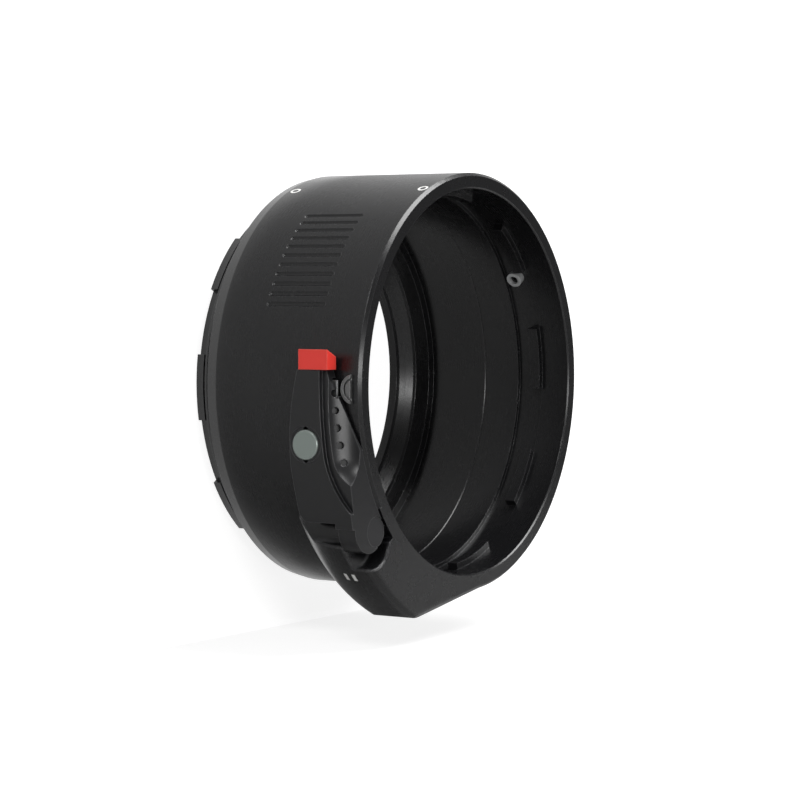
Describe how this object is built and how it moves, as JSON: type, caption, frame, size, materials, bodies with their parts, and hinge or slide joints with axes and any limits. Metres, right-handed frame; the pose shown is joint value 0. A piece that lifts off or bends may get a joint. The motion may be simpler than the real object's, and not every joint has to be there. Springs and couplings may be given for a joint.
{
  "type": "port extension ring",
  "caption": "Black anodised extension ring for an underwater camera housing, with a bayonet at each end, a sealed spigot and a hinged port lock lever.",
  "frame": {"origin": "centre of the rear seat, where the ring meets the camera housing", "axes": "+Z along the optical axis to the front end that takes the port, +Y to the index marks, -X to the lock lever"},
  "size_m": [0.1352, 0.1333, 0.0627],
  "materials": {
    "black_anodised": "black hard anodised, satin",
    "seal_rubber": "greased rubber",
    "plain_aluminium": "turned",
    "steel": "machined stainless steel",
    "dark_steel": "blackened stainless steel",
    "bush_brass": "turned",
    "white_plastic": "bearing plastic",
    "red_plastic": "moulded, coral red",
    "grey_anodised": "grey-green anodised"
  },
  "bodies": {
    "ring": {"barrel": "black_anodised", "housing_seal": "seal_rubber", "stop_pin": "plain_aluminium", "stop_screw": "steel", "catch_key": "steel", "pivot_pin": "dark_steel", "thrust_washer": "white_plastic", "bolt_spring": "steel"},
    "lever": {"lever_arm": "black_anodised", "red_tab": "red_plastic", "tab_screw": "steel", "pivot_bush": "bush_brass", "button_guide": "black_anodised", "button_spring": "steel"},
    "button": {"release_button": "grey_anodised", "latch_plate": "steel", "latch_screw": "steel"},
    "bolt": {"lock_bolt": "steel"}
  },
  "joints": [
    {"name": "lever_swing", "type": "hinge", "parent": "ring", "child": "lever", "pos_m": [-0.05496, -0.04172, 0.0495], "axis": [0, 0, 1], "range_deg": [0, 35]},
    {"name": "button_push", "type": "slide", "parent": "lever", "child": "button", "axis": [1, 0, 0], "range_m": [0, 0.0012], "stiffness_N_per_m": 400, "springref_m": -0.001, "deforming": ["button_spring"]},
    {"name": "bolt_slide", "type": "slide", "parent": "ring", "child": "bolt", "axis": [-0.7965, -0.6046, 0], "range_m": [0, 0.0016], "deforming": ["bolt_spring"]}
  ],
  "couplings": [
    {"joint": "bolt_slide", "follows": "lever_swing", "m_per_rad": 0.0026192}
  ]
}
